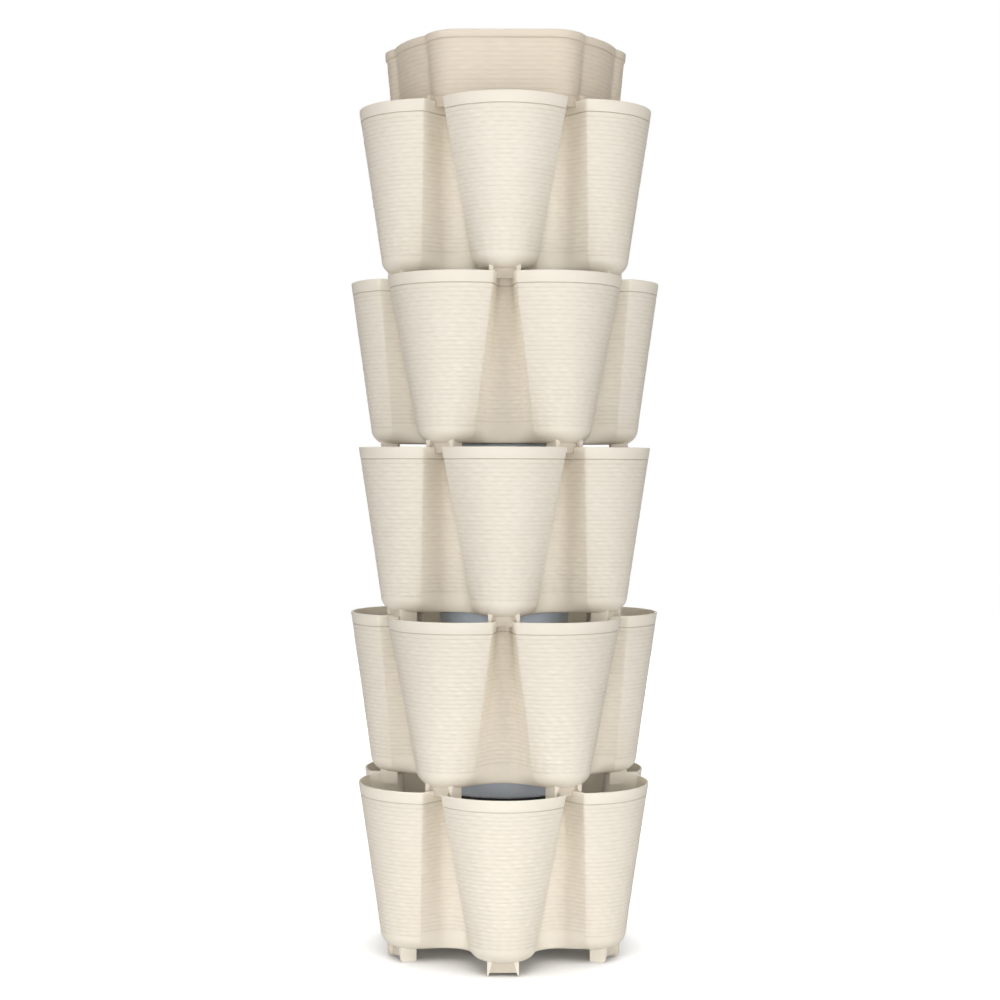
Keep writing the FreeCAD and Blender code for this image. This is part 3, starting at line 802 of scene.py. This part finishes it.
def tank_outline(back):
    """Plan of the reservoir set in by some amounts, one row each, with the flat sides on +Y.

    Half a side is the flat, the corner's arc down to the crease where it meets the big circle,
    and that circle as far as the next side's mirror line.
    """
    back = np.atleast_1d(np.asarray(back, float))[:, None]
    centre_x, centre_y = TANK_HALF_FLAT, TANK_FLAT - TANK_CORNER
    distance = math.hypot(centre_x, centre_y)
    corner, around = TANK_CORNER - back, TANK_ROUND - back
    opening = np.arccos((around ** 2 + distance ** 2 - corner ** 2) / (2 * around * distance))
    crease = math.atan2(centre_y, centre_x) - opening
    from_corner = np.arctan2(around * np.sin(crease) - centre_y, around * np.cos(crease) - centre_x)
    share = (np.arange(FLAT_COLUMNS) / FLAT_COLUMNS)[None, :]
    first = (centre_x * share + 0 * back, centre_y + corner + 0 * share)
    second = arc(centre_x, centre_y, corner, math.pi / 2 + 0 * back, from_corner, TANK_CORNER_COLUMNS)
    side_end = math.pi / 2 - math.pi / TANK_SIDES + 0 * back
    third = arc(0.0, 0.0, around, crease, side_end, ROUND_COLUMNS, True)
    half_x, half_y = (np.concatenate(parts, 1)[:, ::-1] for parts in zip(first, second, third))
    return all_round(half_x, half_y, TANK_SIDES)


def tank_rows(heights, insets):
    """The reservoir's wall at some heights. It leans out towards the rim."""
    heights = np.asarray(heights, float)
    lean = TANK_TAPER * (TANK_RIM - heights) / (TANK_RIM - UNDERSIDE)
    x, y = tank_outline(np.asarray(insets) + lean)
    return x, y, np.broadcast_to(heights[:, None], x.shape)


def tank_shell():
    """The basin without its holes and feet: underside, lower edge, woven wall, rim band, inside."""
    bevel = np.linspace(math.pi / 2, 0.0, 6)
    edge = tank_rows(UNDERSIDE + TANK_EDGE * (1 - np.sin(bevel)), TANK_EDGE * (1 - np.cos(bevel)))
    under = [circle_row(edge[0][:1], edge[1][:1], radius, UNDERSIDE) for radius in reversed(TANK_RINGS)]

    band_foot = TANK_RIM - TANK_BAND
    wall_foot = UNDERSIDE + TANK_EDGE
    wall_height = band_foot - TANK_LINE - wall_foot
    row = np.arange(TANK_WEAVE_ROWS * ROW_SAMPLES + 1) / ROW_SAMPLES
    x, y, z = tank_rows(wall_foot + wall_height * row / TANK_WEAVE_ROWS, 0.0)
    across, wave = weave(row[:, None], np.arange(x.shape[1])[None, :])
    normal_x, normal_y = outward(x, y)
    lift = across * (TANK_GROOVE + TANK_RISE * wave) - TANK_GROOVE - TANK_RECESS
    woven = (x + normal_x * lift, y + normal_y * lift, z)

    band = tank_rows(*zip(
        (band_foot - 0.0003, 0.0009), (band_foot, 0.0004 - BAND_PROUD), (band_foot + 0.0004, -BAND_PROUD),
        (TANK_RIM - 0.0012, -BAND_PROUD), (TANK_RIM - 0.0004, 0.0004 - BAND_PROUD),
        (TANK_RIM, 0.0012 - BAND_PROUD), (TANK_RIM, WALL - 0.0012), (TANK_RIM - 0.0004, WALL - 0.0004),
        (TANK_RIM - 0.0012, WALL), (band_foot, WALL), (0.05, WALL), (0.026, WALL),
        (0.0228, WALL + 0.0012), (FLOOR_TOP, WALL + 0.004),
    ))
    inside = [circle_row(band[0][-1:], band[1][-1:], radius, FLOOR_TOP) for radius in TANK_RINGS]

    parts = under + [edge, woven, band] + inside
    x, y, z = (np.concatenate([part[k] for part in parts]) for k in range(3))
    rows, columns = x.shape
    points = np.stack([x, y, z], -1).reshape(-1, 3)
    points = np.concatenate([points, [(0, 0, UNDERSIDE), (0, 0, FLOOR_TOP)]])
    around = np.arange(columns)
    after = (around + 1) % columns
    last_row = (rows - 1) * columns
    low_cap = np.stack([after, around, np.full(columns, rows * columns)], 1)
    high_cap = np.stack([last_row + around, last_row + after, np.full(columns, rows * columns + 1)], 1)

    first = len(under) + len(edge[0])
    last = first + len(row)
    painted_shade, woven_mask = np.zeros((rows, columns)), np.zeros((rows, columns))
    # Painted shade in the weave's grooves
    painted_shade[first:last] = painted_weave_shade(across, wave)
    woven_mask[first:last] = TANK_WOVEN
    steps = np.hypot(np.diff(x, axis=1, prepend=x[:, :1]), np.diff(y, axis=1, prepend=y[:, :1]))
    row_number = (z - wall_foot) / wall_height * TANK_WEAVE_ROWS
    surface = np.stack([np.cumsum(steps, 1), row_number, woven_mask], -1).reshape(-1, 3)
    surface = np.concatenate([surface, np.zeros((2, 3))])
    attributes = {"surface": surface, "painted_shade": np.append(painted_shade, (0.0, 0.0))}
    faces = [grid_faces(rows, columns, False), low_cap, high_cap]
    return make_mesh("tank_whole", points, faces, attributes)


hole_angles = [90.0 + 360.0 * k / TANK_SIDES for k in range(TANK_SIDES)]
hole = drum_solid(NOZZLE_PLACE, NOZZLE_HOLE, UNDERSIDE - 0.002, FLOOR_TOP + 0.002)
tank = cut_out(tank_shell(), repeated("nozzle_holes", [(*hole, 0.0)], hole_angles))
tank_feet = repeated("tank_feet", foot_solids(UNDERSIDE + TANK_FOOT_ROOT), pocket_angles)
tank_mesh = placed(joined("tank", [tank, tank_feet], sharp_degrees=50.0), 180.0, TIERS * PITCH)
# The last colour is the painted shade's colour
sand = woven_plastic("sand_plastic", srgb(234, 222, 205), srgb(225, 211, 190), srgb(150, 134, 112))
add_piece("reservoir_dressed", tank_mesh, sand, "reservoir", "reservoir")

# Drip nozzles
# Three small flanged spouts, pushed through holes in the reservoir's floor from inside, that let
# the water down into the topmost disk a drop at a time.
NOZZLE_BORE, NOZZLE_RADIUS, FLANGE_RADIUS = 0.0016, 0.0040, 0.0075
NOZZLE_TIP, FLANGE_LOW, FLANGE_TOP = -0.009, 0.003, 0.005
NOZZLE_COLUMNS = 32
nozzle_profile = eased([
    (NOZZLE_BORE, NOZZLE_TIP), (0.0034, NOZZLE_TIP), (NOZZLE_RADIUS, -0.006), (NOZZLE_RADIUS, FLANGE_LOW),
    (FLANGE_RADIUS, FLANGE_LOW), (FLANGE_RADIUS, FLANGE_TOP), (NOZZLE_BORE, FLANGE_TOP),
], 0.0004)
nozzle_points, nozzle_faces = lathe(nozzle_profile, NOZZLE_COLUMNS)
for number, angle in enumerate(hole_angles, start=1):
    turn = math.radians(180.0 + angle)
    place = (NOZZLE_PLACE * math.cos(turn), NOZZLE_PLACE * math.sin(turn), TIERS * PITCH + UNDERSIDE)
    name = "drip_nozzle_%d" % number
    mesh = make_mesh(name + "_dressed", nozzle_points + place, nozzle_faces)
    add_piece(name + "_dressed", mesh, charcoal, "reservoir", name)
